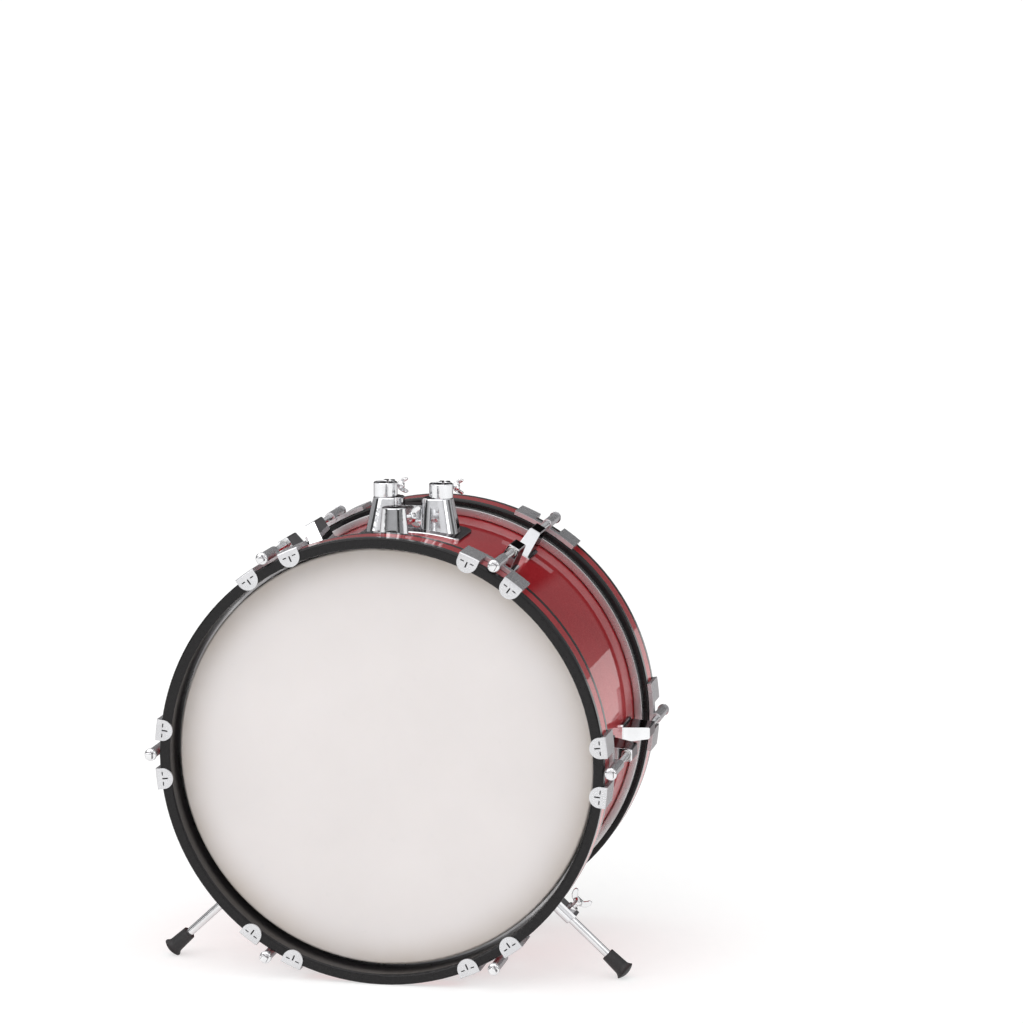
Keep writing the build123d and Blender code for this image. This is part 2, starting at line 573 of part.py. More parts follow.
with BuildPart() as cymbal_arm_socket:
    with BuildSketch(Plane.XY.offset(AXIS_HEIGHT + LOBE_FOOT)):
        with Locations((0, ARM_SOCKET_Y)):
            Circle(ARM_FLANGE_RADIUS)
    extrude(amount=WRAP_RADIUS + ARM_FLANGE_HEIGHT - LOBE_FOOT)
    chamfer(cymbal_arm_socket.faces().sort_by(Axis.Z)[-1].edges(), 1)
    with BuildSketch(Plane.XY.offset(AXIS_HEIGHT + WRAP_RADIUS + ARM_FLANGE_HEIGHT)):
        with Locations((0, ARM_SOCKET_Y)):
            Circle(ARM_CONE_FOOT_RADIUS)
    with BuildSketch(Plane.XY.offset(AXIS_HEIGHT + ARM_SOCKET_TOP)):
        with Locations((0, ARM_SOCKET_Y)):
            Circle(ARM_CONE_TOP_RADIUS)
    loft()
    fillet(cymbal_arm_socket.faces().sort_by(Axis.Z)[-1].edges(), 1.2)
    with Locations((0, ARM_SOCKET_Y, AXIS_HEIGHT + ARM_SOCKET_TOP + 1)):
        Hole(ARM_SOCKET_RADIUS, THROUGH)
    with Locations(*[(x, ARM_SOCKET_Y, AXIS_HEIGHT + ARM_SCREW_TIP + 1) for x in ARM_SCREW_XS]):
        Hole(SCREW_HOLE_RADIUS, THROUGH / 3)
    with Locations(arm_bolt_place):
        Cylinder(ARM_BOLT_RADIUS + BOLT_CLEARANCE, THROUGH, align=FROM_BASE, mode=Mode.SUBTRACT)
    with Locations((0, 0, AXIS_HEIGHT)):
        Cylinder(WRAP_RADIUS, SHELL_DEPTH, rotation=ALONG_Y, mode=Mode.SUBTRACT)

with BuildPart() as cymbal_socket_wing_bolt:
    with Locations(arm_bolt_place):
        add(wing_bolt(ARM_BOLT_RADIUS, 11.5, 22.0, 11.0))

# ---------------------------------------------------------------- spurs, modelled on the right side
right_station = around(SPUR_STATION)
spur_bolt_place = Location((-SPUR_ROD_RADIUS - 0.3, SPUR_Y, SPUR_BOLT_AT), (0, -90, 0))

with BuildPart() as spur_bracket:
    add(curved_plate(
        WRAP_RADIUS, WRAP_RADIUS + SPUR_PLATE_THICKNESS,
        SPUR_Y - SPUR_PLATE_HALF_DEPTH, SPUR_Y + SPUR_PLATE_HALF_DEPTH,
        -SPUR_PLATE_HALF_ANGLE, SPUR_PLATE_HALF_ANGLE, 5, 0.6
    ))
    with BuildSketch(Plane.XY.offset(WRAP_RADIUS + 1)):
        with Locations((0, SPUR_Y)):
            Circle(SPUR_SLEEVE_RADIUS)
    extrude(amount=SPUR_SLEEVE_END - WRAP_RADIUS - 1)
    chamfer(spur_bracket.faces().sort_by(Axis.Z)[-1].edges(), 0.6)
    with BuildSketch(Plane.XY.offset(WRAP_RADIUS + 1)):
        with Locations((-SPUR_SLEEVE_RADIUS - 0.4, SPUR_Y)):
            Rectangle(SPUR_FIN_THICKNESS, SPUR_FIN_WIDTH)
    extrude(amount=SPUR_SLEEVE_END - WRAP_RADIUS)
    with Locations(spur_bolt_place):
        Cylinder(SPUR_BOSS_RADIUS, SPUR_BOSS_LENGTH, align=FROM_BASE)
    with Locations((0, SPUR_Y, SPUR_SLEEVE_END + 5)):
        Hole(SPUR_ROD_RADIUS + RUNNING_CLEARANCE, THROUGH)
    with Locations(spur_bolt_place):
        Cylinder(SPUR_BOLT_RADIUS + BOLT_CLEARANCE, THROUGH, align=FROM_BASE, mode=Mode.SUBTRACT)
    with Locations(*[(x, y, WRAP_RADIUS + 5) for x, y in SPUR_SCREW_POINTS]):
        Hole(SCREW_HOLE_RADIUS, THROUGH / 3)

with BuildPart() as spur_rod:
    with BuildSketch(Plane.XY.offset(SPUR_ROD_INNER_END)):
        with Locations((0, SPUR_Y)):
            Circle(SPUR_ROD_RADIUS)
    extrude(amount=FOOT_TOP_AT + FOOT_GRIP - SPUR_ROD_INNER_END)
    chamfer(spur_rod.faces().sort_by(Axis.Z)[0].edges(), 0.6)

# Rubber foot: tapered sleeve, flared lip and shallow domed sole.
with BuildPart() as spur_foot:
    flare_at = FOOT_LIP_AT - FOOT_FLARE_LENGTH
    dome_radius = (FOOT_LIP_RADIUS**2 + FOOT_DOME**2) / (2 * FOOT_DOME)
    with BuildSketch(Plane(origin=(0, SPUR_Y, 0), x_dir=(1, 0, 0), z_dir=(0, -1, 0))):
        with BuildLine():
            Line((0, FOOT_TOP_AT), (FOOT_TOP_RADIUS - 0.4, FOOT_TOP_AT))
            Line((FOOT_TOP_RADIUS - 0.4, FOOT_TOP_AT), (FOOT_TOP_RADIUS, FOOT_TOP_AT + 0.4))
            Line((FOOT_TOP_RADIUS, FOOT_TOP_AT + 0.4), (FOOT_WAIST_RADIUS, flare_at))
            ThreePointArc(
                (FOOT_WAIST_RADIUS, flare_at),
                (FOOT_WAIST_RADIUS + 0.6, flare_at + FOOT_FLARE_LENGTH * 0.5),
                (FOOT_LIP_RADIUS, FOOT_LIP_AT - FOOT_LIP_WIDTH),
            )
            Line((FOOT_LIP_RADIUS, FOOT_LIP_AT - FOOT_LIP_WIDTH), (FOOT_LIP_RADIUS, FOOT_LIP_AT))
            RadiusArc((FOOT_LIP_RADIUS, FOOT_LIP_AT), (0, FOOT_LIP_AT + FOOT_DOME), -dome_radius)
            Line((0, FOOT_LIP_AT + FOOT_DOME), (0, FOOT_TOP_AT))
        make_face()
    revolve(axis=Axis((0, SPUR_Y, 0), (0, 0, 1)))
    with Locations((0, SPUR_Y, FOOT_TOP_AT)):
        Cylinder(SPUR_ROD_RADIUS, 2 * FOOT_GRIP, mode=Mode.SUBTRACT)

spur_bolt = wing_bolt(SPUR_BOLT_RADIUS, 11.0, 24.0, 12.0)

with BuildPart() as right_spur_bracket:
    with Locations(right_station):
        add(spur_bracket.part)

with BuildPart() as right_spur_rod:
    with Locations(right_station):
        add(spur_rod.part)

with BuildPart() as right_spur_foot:
    with Locations(right_station):
        add(spur_foot.part)

with BuildPart() as right_spur_wing_bolt:
    with Locations(right_station * spur_bolt_place):
        add(spur_bolt)

# ---------------------------------------------------------------- screws
lug_screw = pan_screw(SHELL_INNER - 0.1, WRAP_RADIUS + 7.5)
mount_screw = pan_screw(SHELL_INNER - BACKING_THICKNESS - 1.1, MOUNT_SCREW_TIP)
arm_screw = pan_screw(SHELL_INNER - 0.8, ARM_SCREW_TIP)
spur_screw = pan_screw(WRAP_RADIUS + SPUR_PLATE_THICKNESS - 0.1, SHELL_INNER - 5.6)

with BuildPart() as spur_nut:
    with BuildSketch(Plane.XY.offset(SHELL_INNER - 5.2)):
        RegularPolygon(NUT_ACROSS_CORNERS_RADIUS, 6)
        Circle(SCREW_RADIUS, mode=Mode.SUBTRACT)
    extrude(amount=NUT_HEIGHT)

lug_points = mirrored_points([(0, y) for y in LUG_SCREW_YS])
with BuildPart() as lug_screws:
    for station in STATION_ANGLES:
        with Locations(*[around(station) * Location((x, y, 0)) for x, y in lug_points]):
            add(lug_screw)

with BuildPart() as tom_mount_screws:
    with Locations(*[(x, y, AXIS_HEIGHT) for x, y in MOUNT_SCREW_POINTS]):
        add(mount_screw)

with BuildPart() as cymbal_socket_screws:
    with Locations(*[(x, ARM_SOCKET_Y, AXIS_HEIGHT) for x in ARM_SCREW_XS]):
        add(arm_screw)

with BuildPart() as spur_bracket_screws:
    for station in (-SPUR_STATION, SPUR_STATION):
        with Locations(*[around(station) * Location((x, y, 0)) for x, y in SPUR_SCREW_POINTS]):
            add(spur_screw)

with BuildPart() as spur_bracket_nuts:
    for station in (-SPUR_STATION, SPUR_STATION):
        with Locations(*[around(station) * Location((x, y, 0)) for x, y in SPUR_SCREW_POINTS]):
            add(spur_nut.part)

with BuildPart() as vent_eyelet:
    with Locations(around(VENT_ANGLE)):
        add(vent_grommet.part)

# ---------------------------------------------------------------- every finished piece by its name
PIECES = {
    "shell": shell,
    "shell_wrap": shell_wrap,
    "vent_grommet": vent_eyelet,
    "front_hoop": front_hoop,
    "front_hoop_inlay": front_hoop_inlay,
    "front_flesh_hoop": front_flesh_hoop,
    "front_head": front_head,
    "front_claws": front_claws,
    "front_lugs": front_lugs,
    "front_swivel_nuts": front_swivel_nuts,
    "front_rod_washers": front_rod_washers,
    "lug_screws": lug_screws,
    "tom_mount_plate": tom_mount_plate,
    "tom_mount_casting": tom_mount_casting,
    "tom_mount_backing_plate": tom_mount_backing_plate,
    "tom_mount_screws": tom_mount_screws,
    "left_post_collar": left_post_collar,
    "right_post_collar": right_post_collar,
    "left_collar_wing_bolt": left_collar_wing_bolt,
    "right_collar_wing_bolt": right_collar_wing_bolt,
    "cymbal_arm_socket": cymbal_arm_socket,
    "cymbal_socket_wing_bolt": cymbal_socket_wing_bolt,
    "cymbal_socket_screws": cymbal_socket_screws,
    "right_spur_bracket": right_spur_bracket,
    "right_spur_rod": right_spur_rod,
    "right_spur_foot": right_spur_foot,
    "right_spur_wing_bolt": right_spur_wing_bolt,
    "spur_bracket_screws": spur_bracket_screws,
    "spur_bracket_nuts": spur_bracket_nuts,
}

for number, station in enumerate(STATION_ANGLES, start=1):
    with BuildPart() as placed_rod:
        with Locations(around(station)):
            add(tension_rod.part)
    PIECES[f"front_tension_rod_{number}"] = placed_rod

# The pedal side mirrors the front, and the left spur mirrors the right one.
for name in [name for name in PIECES if name.startswith("front_")]:
    with BuildPart() as mirrored:
        mirror(PIECES[name].part, about=Plane.XZ)
    PIECES[name.replace("front_", "rear_")] = mirrored

for name in [name for name in PIECES if name.startswith("right_spur")]:
    with BuildPart() as mirrored:
        mirror(PIECES[name].part, about=Plane.YZ)
    PIECES[name.replace("right_", "left_")] = mirrored

os.makedirs("parts", exist_ok=True)
for name, piece in PIECES.items():
    piece.part.label = name
    export_step(piece.part, f"parts/{name}.step")
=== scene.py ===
"""Looks of the bass drum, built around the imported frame. Metres, the row's frame."""

import json
import math

import bmesh
import bpy
from mathutils import Matrix, Vector


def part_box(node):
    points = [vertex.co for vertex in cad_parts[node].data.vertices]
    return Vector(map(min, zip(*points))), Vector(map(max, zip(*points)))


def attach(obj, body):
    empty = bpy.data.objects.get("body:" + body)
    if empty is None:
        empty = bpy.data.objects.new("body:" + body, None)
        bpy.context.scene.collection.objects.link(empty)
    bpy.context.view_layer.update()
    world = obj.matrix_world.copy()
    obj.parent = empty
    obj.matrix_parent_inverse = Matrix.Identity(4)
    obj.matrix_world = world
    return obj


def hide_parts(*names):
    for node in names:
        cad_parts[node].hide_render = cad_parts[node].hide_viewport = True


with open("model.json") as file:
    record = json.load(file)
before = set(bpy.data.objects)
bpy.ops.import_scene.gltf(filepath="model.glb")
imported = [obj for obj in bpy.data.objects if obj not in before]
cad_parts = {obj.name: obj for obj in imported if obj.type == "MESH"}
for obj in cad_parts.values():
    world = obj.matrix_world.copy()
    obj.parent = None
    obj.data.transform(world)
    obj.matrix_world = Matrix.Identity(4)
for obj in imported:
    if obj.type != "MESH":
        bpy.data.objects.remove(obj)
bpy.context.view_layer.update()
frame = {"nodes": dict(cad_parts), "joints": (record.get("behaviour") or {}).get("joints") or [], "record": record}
scene = bpy.context.scene
nodes = frame["nodes"]
slots = {s["node"]: s["material_slot"] for s in frame["record"]["subparts"]}
body_of = {n: b for b, names in frame["record"]["behaviour"]["bodies"].items() for n in names}

hoop_low, hoop_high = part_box("front_hoop")
AXIS_Z = (hoop_low.z + hoop_high.z) / 2
SHELL_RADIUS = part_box("shell_wrap")[1].x
SHARP_ANGLE = math.radians(32)
MM = 0.001


# ------------------------------------------------------------------ node helpers
class Graph:
    """A small wrapper round a material's node tree."""

    def __init__(self, name):
        self.material = bpy.data.materials.new(name)
        self.material.use_nodes = True
        self.tree = self.material.node_tree
        self.shader = self.tree.nodes["Principled BSDF"]
        coords = self.tree.nodes.new("ShaderNodeTexCoord")
        self.position = coords.outputs["Object"]

    def node(self, kind, settings=None, **inputs):
        made = self.tree.nodes.new(kind)
        for key, value in (settings or {}).items():
            setattr(made, key, value)
        for key, value in inputs.items():
            self.put(made.inputs[key.replace("_", " ")], value)
        return made

    def put(self, socket, value):
        if isinstance(value, bpy.types.NodeSocket):
            self.tree.links.new(value, socket)
        else:
            socket.default_value = value

    def math(self, operation, a, b=0.0):
        made = self.tree.nodes.new("ShaderNodeMath")
        made.operation = operation
        self.put(made.inputs[0], a)
        self.put(made.inputs[1], b)
        return made.outputs[0]

    def noise(self, scale, detail=3.0, roughness=0.55, vector=None):
        made = self.node("ShaderNodeTexNoise", Scale=scale, Detail=detail, Roughness=roughness)
        self.put(made.inputs["Vector"], vector or self.position)
        return made.outputs["Fac"]

    def cells(self, scale):
        made = self.node("ShaderNodeTexVoronoi", Scale=scale)
        self.put(made.inputs["Vector"], self.position)
        return made.outputs["Color"]

    def stretched(self, x, y, z):
        made = self.node("ShaderNodeMapping", Scale=(x, y, z))
        self.put(made.inputs["Vector"], self.position)
        return made.outputs["Vector"]

    def span(self, value, low, high, to_low=0.0, to_high=1.0):
        made = self.tree.nodes.new("ShaderNodeMapRange")
        self.put(made.inputs["Value"], value)
        limits = (("From Min", low), ("From Max", high), ("To Min", to_low), ("To Max", to_high))
        for key, number in limits:
            self.put(made.inputs[key], number)
        return made.outputs["Result"]

    def mix(self, factor, a, b):
        made = self.node("ShaderNodeMix", {"data_type": "RGBA"})
        self.put(made.inputs["Factor"], factor)
        self.put(made.inputs[6], a)
        self.put(made.inputs[7], b)
        return made.outputs[2]

    def bump(self, height, distance, strength=1.0, normal=None):
        made = self.node("ShaderNodeBump", Distance=distance, Strength=strength)
        self.put(made.inputs["Height"], height)
        if normal:
            self.put(made.inputs["Normal"], normal)
        return made.outputs["Normal"]

    def radius(self):
        """Distance from the drum's axis."""
        split = self.tree.nodes.new("ShaderNodeSeparateXYZ")
        self.put(split.inputs[0], self.position)
        x = split.outputs["X"]
        z = self.math("SUBTRACT", split.outputs["Z"], AXIS_Z)
        squares = self.math("ADD", self.math("MULTIPLY", x, x), self.math("MULTIPLY", z, z))
        return self.math("SQRT", squares)

    def set(self, **inputs):
        for key, value in inputs.items():
            self.put(self.shader.inputs[key.replace("_", " ")], value)


def rgb(r, g, b):
    return (r, g, b, 1.0)


# ------------------------------------------------------------------ materials
CHROME_TINT = (0.86, 0.865, 0.88)
GLANCING_TINT = rgb(0.22, 0.20, 0.205)
CHROME_ROUNDING = 0.4 * MM
HOOP_ROUNDING = 1.2 * MM


def chrome(name, tint=CHROME_TINT, rough=(0.04, 0.11), wave=0.00004, metallic=1.0):
    """Plated metal: slight waves, haze and dust, with dark outlines where it is seen at a glancing angle."""
    g = Graph(name)
    haze = g.noise(55.0, 4.0)
    dust = g.span(g.noise(1400.0, 2.0), 0.60, 0.78)
    smear = g.noise(9.0, 3.0)
    base = g.mix(g.span(haze, 0.35, 0.7), rgb(*tint), rgb(*(c * 0.9 for c in tint)))
    base = g.mix(g.math("MULTIPLY", dust, 0.35), base, rgb(0.45, 0.43, 0.41))
    film = g.span(g.math("MULTIPLY", haze, smear), 0.1, 0.4, *rough)
    roughness = g.math("ADD", film, g.math("MULTIPLY", dust, 0.12))
    rounded = g.node("ShaderNodeBevel", {"samples": 4}, Radius=CHROME_ROUNDING).outputs["Normal"]
    normal = g.bump(g.noise(75.0, 2.0), wave, 1.0, rounded)
    g.set(
        Base_Color=base,
        Metallic=metallic,
        Roughness=roughness,
        Normal=normal,
        Specular_Tint=GLANCING_TINT,
    )
    return g.material


def steel(name, tint=(0.60, 0.60, 0.59)):
    """Plain zinc-plated steel with a fine grain."""
    g = Graph(name)
    lines = g.noise(700.0, 4.0, 0.6)
    haze = g.noise(60.0)
    base = g.mix(g.span(lines, 0.3, 0.7), rgb(*tint), rgb(*(c * 0.78 for c in tint)))
    g.set(
        Base_Color=base,
        Metallic=1.0,
        Roughness=g.span(haze, 0.3, 0.7, 0.22, 0.38),
        Normal=g.bump(lines, 0.00002, 0.8),
    )
    return g.material


def sparkle_wrap(name):
    """Glossy film over metallic red: fine flakes, soft mottling and a slight waviness in the gloss."""
    g = Graph(name)
    flake_tone = g.span(g.cells(1500.0), 0.1, 0.95)
    cloud = g.noise(14.0, 4.0, 0.6)
    deep = g.mix(g.span(cloud, 0.3, 0.72), rgb(0.36, 0.0022, 0.010), rgb(0.48, 0.0035, 0.015))
    base = g.mix(g.math("MULTIPLY", flake_tone, 0.42), deep, rgb(0.90, 0.016, 0.032))
    under = g.bump(flake_tone, 0.00006, 0.55)
    film = g.bump(g.noise(34.0, 2.0), 0.00005, 0.7)
    g.set(
        Base_Color=base,
        Metallic=0.5,
        Specular_Tint=rgb(0.75, 0.12, 0.15),
        Roughness=g.span(flake_tone, 0.0, 1.0, 0.44, 0.28),
        Normal=under,
        Coat_Weight=0.72,
        Coat_Roughness=0.02,
        Coat_IOR=1.5,
        Coat_Normal=film,
    )
    return g.material


def lacquer(name):
    """Black gloss lacquer over bent ply: faint grain along the hoop, hairline scuffs and dust."""
    g = Graph(name)
    grain = g.noise(260.0, 4.0, 0.6, g.stretched(1, 9, 1))
    scuff = g.span(g.noise(620.0, 2.0, 0.5, g.stretched(1, 0.25, 1)), 0.62, 0.80)
    dust = g.span(g.noise(1900.0, 2.0), 0.63, 0.76)
    base = g.mix(g.span(grain, 0.3, 0.7), rgb(0.0055, 0.005, 0.0055), rgb(0.012, 0.011, 0.0115))
    base = g.mix(g.math("MULTIPLY", dust, 0.15), base, rgb(0.12, 0.11, 0.11))
    roughness = g.math("ADD", g.span(grain, 0.3, 0.7, 0.13, 0.20), g.math("MULTIPLY", scuff, 0.12))
    rounded = g.node("ShaderNodeBevel", {"samples": 6}, Radius=HOOP_ROUNDING).outputs["Normal"]
    g.set(
        Base_Color=base,
        Roughness=roughness,
        Specular_IOR_Level=0.26,
        Normal=g.bump(grain, 0.00003, 0.5, rounded),
    )
    return g.material


def drum_film(name):
    """Coated drum head: warm white, fine tooth, greyer and more beige towards the bearing edge, partly the film's
    own tint and partly painted shade from the hoop.
    """
    g = Graph(name)
    r = g.radius()
    tooth = g.noise(2600.0, 3.0, 0.7)
    cloud = g.noise(7.0, 4.0, 0.6)
    spots = g.span(g.noise(120.0, 4.0, 0.65), 0.62, 0.80)
    # painted shade: near the bearing edge the film is mixed towards a darker beige grey, partly its own tint and
    # partly the shade the hoop casts on the head
    rim = g.span(r, SHELL_RADIUS - 0.034, SHELL_RADIUS - 0.003)
    rim = g.math("MULTIPLY", rim, g.span(g.noise(16.0, 3.0), 0.25, 0.75, 0.55, 1.0))
    base = g.mix(g.span(cloud, 0.3, 0.7), rgb(0.70, 0.662, 0.650), rgb(0.74, 0.700, 0.688))
    base = g.mix(g.math("MULTIPLY", g.math("POWER", rim, 1.6), 0.62), base, rgb(0.55, 0.46, 0.375))
    base = g.mix(g.math("MULTIPLY", spots, 0.10), base, rgb(0.52, 0.50, 0.48))
    g.set(
        Base_Color=base,
        Roughness=g.span(g.noise(22.0, 3.0), 0.3, 0.7, 0.36, 0.46),
        Specular_IOR_Level=0.45,
        Subsurface_Weight=0.12,
        Subsurface_Radius=(0.004, 0.0035, 0.003),
        Normal=g.bump(tooth, 0.00003, 0.5, g.bump(g.noise(11.0, 2.0), 0.0004, 0.25)),
        Coat_Weight=0.25,
        Coat_Roughness=0.16,
    )
    return g.material


def rubber(name):
    """Moulded black rubber with a fine grain and a little dust."""
    g = Graph(name)
    grain = g.noise(1100.0, 4.0, 0.65)
    dust = g.span(g.noise(90.0, 4.0, 0.6), 0.5, 0.8)
    base = g.mix(g.math("MULTIPLY", dust, 0.4), rgb(0.017, 0.016, 0.017), rgb(0.07, 0.066, 0.064))
    g.set(
        Base_Color=base,
        Roughness=g.span(grain, 0.3, 0.7, 0.42, 0.62),
        Normal=g.bump(grain, 0.00008, 0.6),
        Specular_IOR_Level=0.45,
    )
    return g.material


def ply(name):
    """Bare shell ply, with its figure and pores running along the drum's axis."""
    g = Graph(name)
    figure = g.noise(22.0, 5.0, 0.6, g.stretched(1, 0.18, 1))
    pores = g.span(g.noise(700.0, 3.0, 0.6, g.stretched(1, 0.12, 1)), 0.55, 0.75)
    base = g.mix(g.span(figure, 0.3, 0.7), rgb(0.47, 0.30, 0.16), rgb(0.60, 0.41, 0.24))
    base = g.mix(g.math("MULTIPLY", pores, 0.5), base, rgb(0.28, 0.16, 0.08))
    g.set(Base_Color=base, Roughness=g.span(figure, 0.3, 0.7, 0.5, 0.66), Normal=g.bump(pores, 0.00008, 0.5))
    return g.material


MATERIALS = {
    "shell": ply("ply_shell"),
    "wrap": sparkle_wrap("red_wrap"),
    "inlay": sparkle_wrap("red_inlay"),
    "grommet": chrome("grommet_chrome"),
    "hoop": lacquer("black_lacquer"),
    "flesh_hoop": chrome("head_rim_metal", (0.62, 0.61, 0.615), (0.22, 0.34), 0.00003, 0.9),
    "head": drum_film("coated_film"),
    "claw": chrome("pressed_chrome", (0.70, 0.70, 0.715), (0.18, 0.30), 0.00006, 0.7),
    "lug": chrome("die_cast_chrome", (0.87, 0.875, 0.89), (0.035, 0.09), 0.00006),
    "swivel_nut": steel("nut_steel"),
    "washer": chrome("washer_chrome"),
    "tension_rod": chrome("rod_chrome", (0.84, 0.84, 0.85), (0.08, 0.17)),
    "mount_plate": chrome("plate_chrome", CHROME_TINT, (0.06, 0.14), 0.00007),
    "mount_casting": chrome("casting_chrome", (0.88, 0.885, 0.90), (0.04, 0.10), 0.0001),
    "backing_plate": steel("backing_steel"),
    "collar": chrome("collar_chrome", CHROME_TINT, (0.06, 0.13), 0.00007),
    "wing_bolt": chrome("wing_bolt_chrome", (0.84, 0.84, 0.85), (0.08, 0.17), 0.00008),
    "arm_socket": chrome("cone_chrome", (0.88, 0.885, 0.90), (0.04, 0.10), 0.00007),
    "spur_bracket": chrome("bracket_chrome", CHROME_TINT, (0.05, 0.13)),
    "spur_rod": chrome("spur_chrome", (0.85, 0.85, 0.86), (0.05, 0.12)),
    "spur_foot": rubber("foot_rubber"),
    "screw": steel("screw_steel"),
}

for name, obj in nodes.items():
    for material_slot in obj.material_slots:
        material_slot.material = MATERIALS[slots[name]]
    for polygon in obj.data.polygons:
        polygon.use_smooth = True
    obj.data.set_sharp_from_angle(angle=SHARP_ANGLE)


# ------------------------------------------------------------------ mesh helpers
# a thread's depth, crest and start of root as shares of its pitch
THREAD_DEPTH = 0.6
CREST_SHARE = 0.18
ROOT_SHARE = 0.58
THREAD_SEGMENTS = 22


def lathe(bm, profile, segments=40):
    """Turns (radius, height) points about z into a closed shell. The first and last are on the axis."""
    rings = []
    for radius, height in profile[1:-1]:
        turn = [2 * math.pi * k / segments for k in range(segments)]
        rings.append([bm.verts.new((radius * math.cos(a), radius * math.sin(a), height)) for a in turn])
    start = bm.verts.new((0, 0, profile[0][1]))
    end = bm.verts.new((0, 0, profile[-1][1]))
    for k in range(segments):
        n = (k + 1) % segments
        bm.faces.new((start, rings[0][n], rings[0][k]))
        bm.faces.new((end, rings[-1][k], rings[-1][n]))
        for low, high in zip(rings, rings[1:]):
            bm.faces.new((low[k], low[n], high[n], high[k]))


def thread(bm, radius, pitch, low, high):
    """A screw thread about z as one closed shell."""
    segments = THREAD_SEGMENTS
    turns = int((high - low) / pitch) - 1
    steps = turns * segments
    root = radius - THREAD_DEPTH * pitch
    profile = ((0.0, radius), (CREST_SHARE, radius), (ROOT_SHARE, root))
    rows = []
    for step in range(steps + segments + 1):
        angle = 2 * math.pi * step / segments
        rows.append([
            bm.verts.new((r * math.cos(angle), r * math.sin(angle), low + pitch * (step / segments + share)))
            for share, r in profile
        ])
    for step in range(steps + segments):
        here, there = rows[step], rows[step + 1]
        bm.faces.new((here[0], there[0], there[1], here[1]))
        bm.faces.new((here[1], there[1], there[2], here[2]))
        if step < steps:
            bm.faces.new((here[2], there[2], rows[step + 1 + segments][0], rows[step + segments][0]))
    rims = [edge for edge in bm.edges if edge.is_boundary]
    bmesh.ops.holes_fill(bm, edges=rims, sides=0)


def mesh_from(bm, name):
    bmesh.ops.recalc_face_normals(bm, faces=bm.faces)
    mesh = bpy.data.meshes.new(name)
    bm.to_mesh(mesh)
    bm.free()
    for polygon in mesh.polygons:
        polygon.use_smooth = True
    return mesh


def place(mesh, name, node, origin, along, across):
    """An object whose z runs along and x across, riding and standing for a CAD node."""
    z = along.normalized()
    x = (across - z * across.dot(z)).normalized()
    turn = Matrix((x, z.cross(x), z)).transposed().to_4x4()
    obj = bpy.data.objects.new(name, mesh)
    scene.collection.objects.link(obj)
    obj.matrix_world = Matrix.Translation(origin) @ turn
    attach(obj, body_of[node])
    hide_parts(node)
    return obj


# ------------------------------------------------------------------ flesh hoops
RING_STEPS = 360
CORNER_STEPS = 6
RIM_ROUNDING = 0.45 * MM


def ring_mesh(name, inner, outer, low_y, high_y, edge):
    """A hoop about y through the drum's axis, with rounded edges, as one closed shell."""
    corners = (
        (outer - edge, high_y - edge, 0), (inner + edge, high_y - edge, 90),
        (inner + edge, low_y + edge, 180), (outer - edge, low_y + edge, 270),
    )
    profile = []
    for r, y, start in corners:
        for step in range(CORNER_STEPS + 1):
            angle = math.radians(start + 90 * step / CORNER_STEPS)
            profile.append((r + edge * math.cos(angle), y + edge * math.sin(angle)))
    bm = bmesh.new()
    rows = []
    for step in range(RING_STEPS):
        turn = 2 * math.pi * step / RING_STEPS
        rows.append([bm.verts.new((r * math.sin(turn), y, AXIS_Z + r * math.cos(turn))) for r, y in profile])
    count = len(profile)
    for step in range(RING_STEPS):
        here, there = rows[step], rows[(step + 1) % RING_STEPS]
        for k in range(count):
            n = (k + 1) % count
            bm.faces.new((here[k], here[n], there[n], there[k]))
    return mesh_from(bm, name)


for node in ("front_flesh_hoop", "rear_flesh_hoop"):
    low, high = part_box(node)
    radii = [math.hypot(v.co.x, v.co.z - AXIS_Z) for v in nodes[node].data.vertices]
    rim = ring_mesh(node + "_rim", min(radii), max(radii), low.y, high.y, RIM_ROUNDING)
    rim.materials.append(MATERIALS["flesh_hoop"])
    rim_object = bpy.data.objects.new(node + "_rim", rim)
    scene.collection.objects.link(rim_object)
    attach(rim_object, body_of[node])
    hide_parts(node)


# ------------------------------------------------------------------ threaded key rods
ROD_R = 3.0 * MM
FLANGE_R = 5.8 * MM
KEY_HEAD = 6.3 * MM
HEAD_LENGTH = 5.6 * MM
FLANGE_LENGTH = 2.2 * MM
THREAD_START = 40 * MM
THREAD_PITCH = 1.0 * MM


